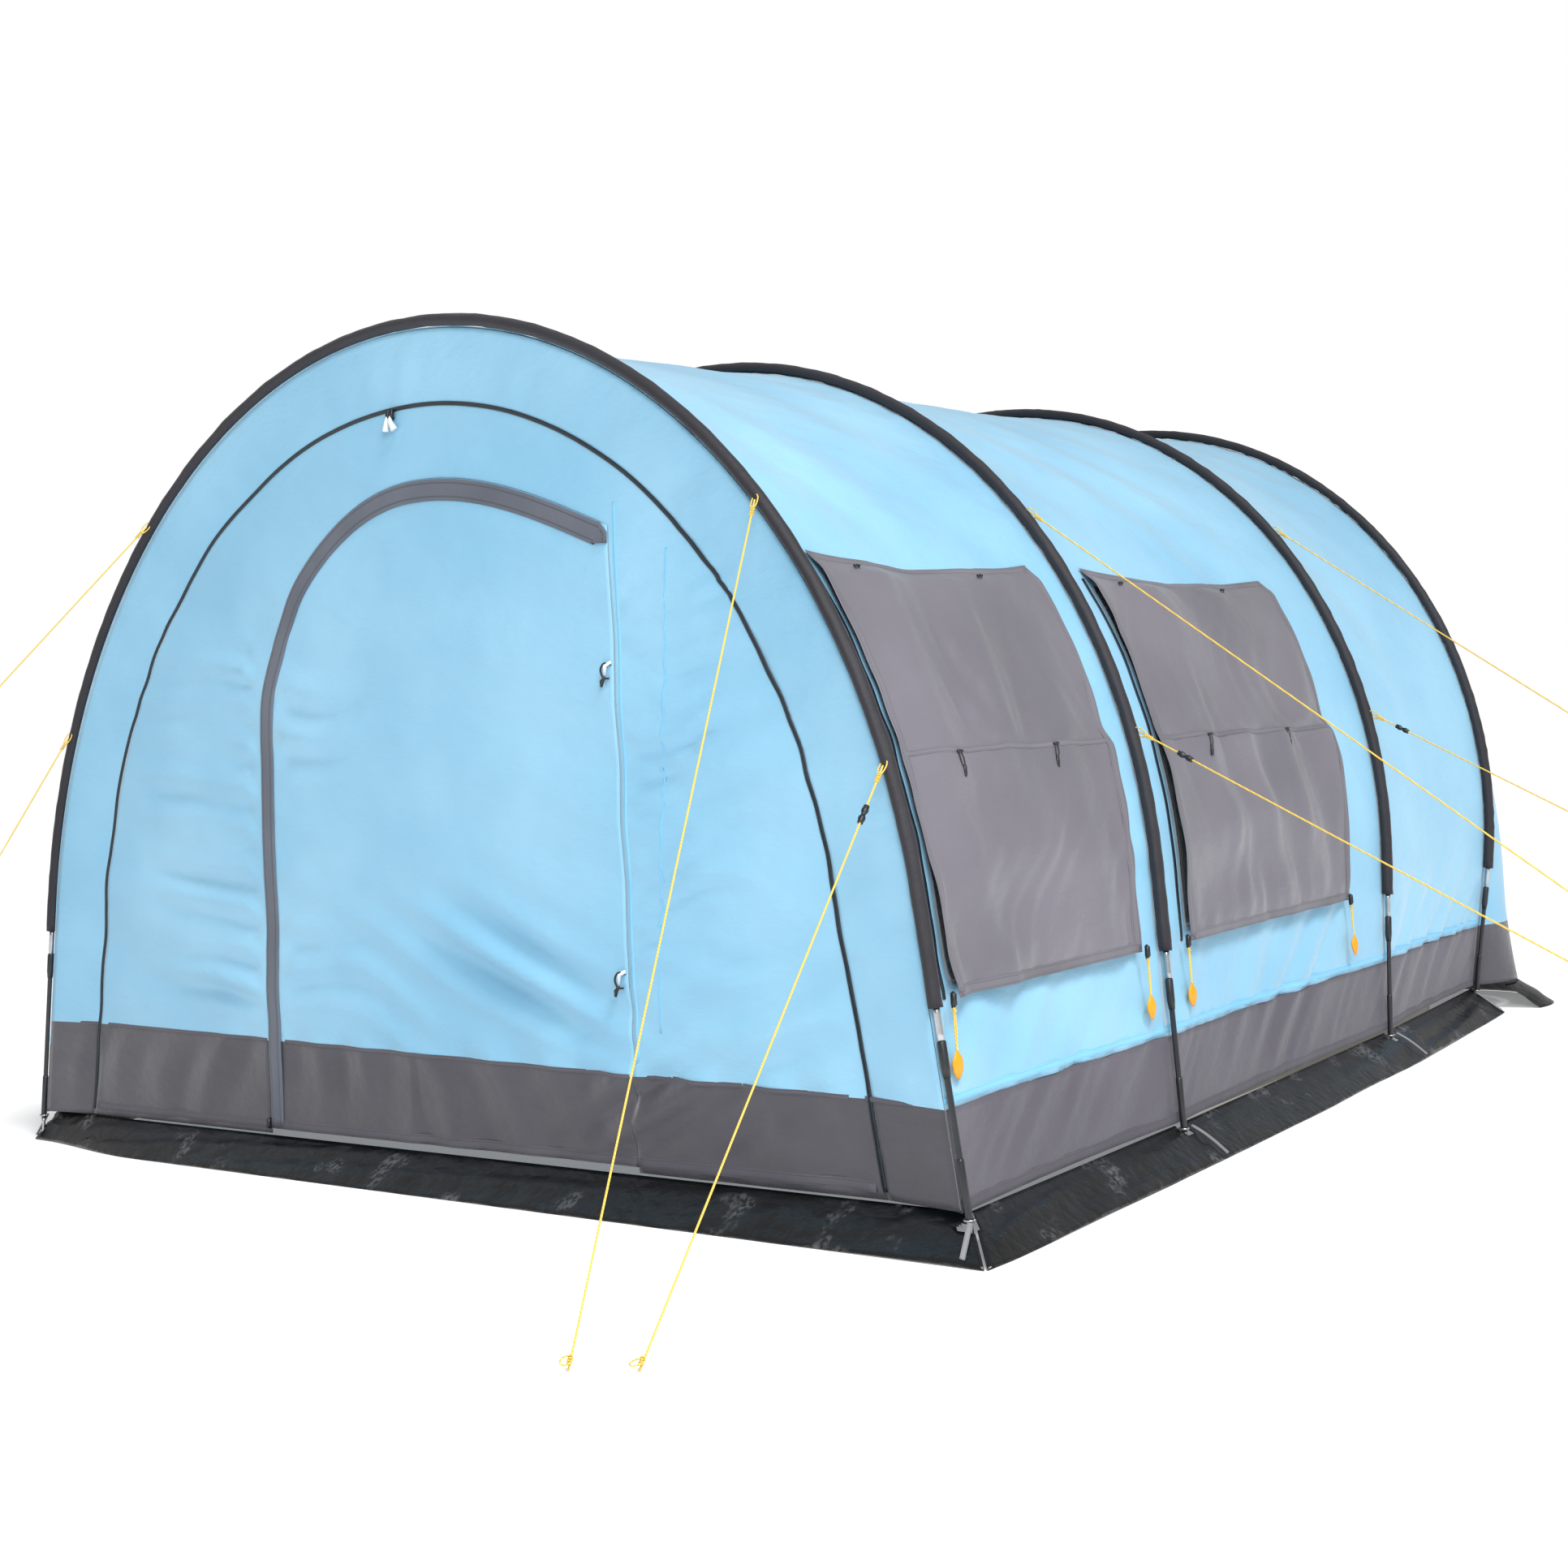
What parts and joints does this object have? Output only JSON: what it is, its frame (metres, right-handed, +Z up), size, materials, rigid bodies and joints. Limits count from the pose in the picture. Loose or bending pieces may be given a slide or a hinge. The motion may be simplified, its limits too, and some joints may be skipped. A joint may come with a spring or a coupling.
{
  "type": "tunnel tent",
  "caption": "Walk-in tunnel tent on bowed poles, with a zipped door, covered side windows, mud flaps, guy lines and an inner sleeping cabin.",
  "frame": {"origin": "middle of the footprint on the ground, guy lines left out", "axes": "+Z up; the door faces -Y; the tent runs along Y; the side with the front guy lines to the ground is +X"},
  "size_m": [4.2558, 4.6647, 2.095],
  "materials": {
    "pole": "satin",
    "steel": "brushed",
    "sleeve": "woven",
    "fly": "coated woven",
    "band": "coated woven",
    "cover": "woven",
    "pane": "clear film",
    "flap": "coated, glossy",
    "cord": "braided",
    "pull": "moulded",
    "zip": "moulded",
    "cabin": "woven"
  },
  "bodies": {
    "tent": {"arch_pole_1": "pole", "arch_pole_2": "pole", "arch_pole_3": "pole", "arch_pole_4": "pole", "fly_bay_front": "fly", "fly_bay_middle": "fly", "fly_bay_rear": "fly", "front_hood": "fly", "guy_line_front_left_lower": "cord", "guy_line_front_left_upper": "cord", "guy_line_front_right_lower": "cord", "guy_line_front_right_upper": "cord", "guy_line_middle_lower": "cord", "guy_line_middle_upper": "cord", "guy_line_rear_lower": "cord", "guy_line_rear_upper": "cord", "inner_cabin": "cabin", "lower_band_left": "band", "lower_band_right": "band", "mud_flap_front": "flap", "mud_flap_left": "flap", "mud_flap_rear": "flap", "mud_flap_right": "flap", "pole_end_left_1": "steel", "pole_end_left_2": "steel", "pole_end_left_3": "steel", "pole_end_left_4": "steel", "pole_end_right_1": "steel", "pole_end_right_2": "steel", "pole_end_right_3": "steel", "pole_end_right_4": "steel", "pole_sleeve_1": "sleeve", "pole_sleeve_2": "sleeve", "pole_sleeve_3": "sleeve", "pole_sleeve_4": "sleeve", "rear_panel": "fly", "window_pane_left_1": "pane", "window_pane_left_2": "pane", "window_pane_right_1": "pane", "window_pane_right_2": "pane"},
    "front_panel_body": {"front_panel": "fly"},
    "door_body": {"door": "fly"},
    "window_cover_right_1_body": {"window_cover_right_1": "cover"},
    "window_slider_right_1_front_body": {"window_slider_right_1_front": "pull"},
    "window_slider_right_1_rear_body": {"window_slider_right_1_rear": "pull"},
    "window_cover_left_1_body": {"window_cover_left_1": "cover"},
    "window_slider_left_1_front_body": {"window_slider_left_1_front": "pull"},
    "window_slider_left_1_rear_body": {"window_slider_left_1_rear": "pull"},
    "window_cover_right_2_body": {"window_cover_right_2": "cover"},
    "window_slider_right_2_front_body": {"window_slider_right_2_front": "pull"},
    "window_slider_right_2_rear_body": {"window_slider_right_2_rear": "pull"},
    "window_cover_left_2_body": {"window_cover_left_2": "cover"},
    "window_slider_left_2_front_body": {"window_slider_left_2_front": "pull"},
    "window_slider_left_2_rear_body": {"window_slider_left_2_rear": "pull"},
    "arch_zip_slider_right_body": {"arch_zip_slider_right": "pull"},
    "arch_zip_slider_left_body": {"arch_zip_slider_left": "pull"},
    "door_zip_slider_body": {"door_zip_slider": "zip"},
    "guy_runner_front_right_lower_body": {"guy_runner_front_right_lower": "pull"},
    "guy_runner_middle_lower_body": {"guy_runner_middle_lower": "pull"},
    "guy_runner_rear_lower_body": {"guy_runner_rear_lower": "pull"}
  },
  "joints": [
    {"name": "front_panel_fold", "type": "hinge", "parent": "tent", "child": "front_panel_body", "pos_m": [0, -1.8275, 0.08], "axis": [-1, 0, 0], "range_deg": [0, 40]},
    {"name": "door_swing", "type": "hinge", "parent": "front_panel_body", "child": "door_body", "pos_m": [0.75, -1.8285, 0.08], "axis": [0, 0, 1], "range_deg": [0, 60]},
    {"name": "window_cover_right_1_lift", "type": "hinge", "parent": "tent", "child": "window_cover_right_1_body", "pos_m": [1.3073, -1.7958, 1.38414], "axis": [0.0295, -0.9996, -0.0002], "range_deg": [0, 110]},
    {"name": "window_slider_right_1_front_run", "type": "hinge", "parent": "tent", "child": "window_slider_right_1_front_body", "pos_m": [0, -1.80014, 0.48042], "axis": [0, -1, 0.0048], "range_deg": [0, 31]},
    {"name": "window_slider_right_1_rear_run", "type": "hinge", "parent": "tent", "child": "window_slider_right_1_rear_body", "pos_m": [0, -1.0129, 0.52716], "axis": [0, -0.9975, 0.0702], "range_deg": [0, 31]},
    {"name": "window_cover_left_1_lift", "type": "hinge", "parent": "tent", "child": "window_cover_left_1_body", "pos_m": [-1.3073, -1.7958, 1.38414], "axis": [0.0295, 0.9996, 0.0002], "range_deg": [0, 110]},
    {"name": "window_slider_left_1_front_run", "type": "hinge", "parent": "tent", "child": "window_slider_left_1_front_body", "pos_m": [0, -1.80014, 0.48042], "axis": [0, 1, -0.0048], "range_deg": [0, 31]},
    {"name": "window_slider_left_1_rear_run", "type": "hinge", "parent": "tent", "child": "window_slider_left_1_rear_body", "pos_m": [0, -1.0129, 0.52716], "axis": [0, 0.9975, -0.0702], "range_deg": [0, 31]},
    {"name": "window_cover_right_2_lift", "type": "hinge", "parent": "tent", "child": "window_cover_right_2_body", "pos_m": [1.27437, -0.70171, 1.38432], "axis": [0.0348, -0.9994, -0.0002], "range_deg": [0, 110]},
    {"name": "window_slider_right_2_front_run", "type": "hinge", "parent": "tent", "child": "window_slider_right_2_front_body", "pos_m": [0, -0.76985, 0.5421], "axis": [0, -0.9967, 0.0806], "range_deg": [0, 31]},
    {"name": "window_slider_right_2_rear_run", "type": "hinge", "parent": "tent", "child": "window_slider_right_2_rear_body", "pos_m": [0, 0.23519, 0.606], "axis": [0, -0.9962, 0.0877], "range_deg": [0, 31]},
    {"name": "window_cover_left_2_lift", "type": "hinge", "parent": "tent", "child": "window_cover_left_2_body", "pos_m": [-1.27437, -0.70171, 1.38432], "axis": [0.0348, 0.9994, 0.0002], "range_deg": [0, 110]},
    {"name": "window_slider_left_2_front_run", "type": "hinge", "parent": "tent", "child": "window_slider_left_2_front_body", "pos_m": [0, -0.76985, 0.5421], "axis": [0, 0.9967, -0.0806], "range_deg": [0, 31]},
    {"name": "window_slider_left_2_rear_run", "type": "hinge", "parent": "tent", "child": "window_slider_left_2_rear_body", "pos_m": [0, 0.23519, 0.606], "axis": [0, 0.9962, -0.0877], "range_deg": [0, 31]},
    {"name": "arch_zip_slider_right_run", "type": "hinge", "parent": "tent", "child": "arch_zip_slider_right_body", "pos_m": [0, -1.8275, 0.52], "axis": [0, 1, 0], "range_deg": [0, 78]},
    {"name": "arch_zip_slider_left_run", "type": "hinge", "parent": "tent", "child": "arch_zip_slider_left_body", "pos_m": [0, -1.8275, 0.52], "axis": [0, -1, 0], "range_deg": [0, 78]},
    {"name": "door_zip_slider_run", "type": "slide", "parent": "front_panel_body", "child": "door_zip_slider_body", "axis": [0, 0, 1], "range_m": [0, 0.93]},
    {"name": "guy_runner_front_right_lower_slide", "type": "slide", "parent": "tent", "child": "guy_runner_front_right_lower_body", "axis": [0.0585, -0.6536, -0.7546], "range_m": [-0.06, 0.3]},
    {"name": "guy_runner_middle_lower_slide", "type": "slide", "parent": "tent", "child": "guy_runner_middle_lower_body", "axis": [0.8795, 0.0169, -0.4757], "range_m": [-0.06, 0.3]},
    {"name": "guy_runner_rear_lower_slide", "type": "slide", "parent": "tent", "child": "guy_runner_rear_lower_body", "axis": [0.8782, 0.0005, -0.4783], "range_m": [-0.06, 0.3]}
  ]
}
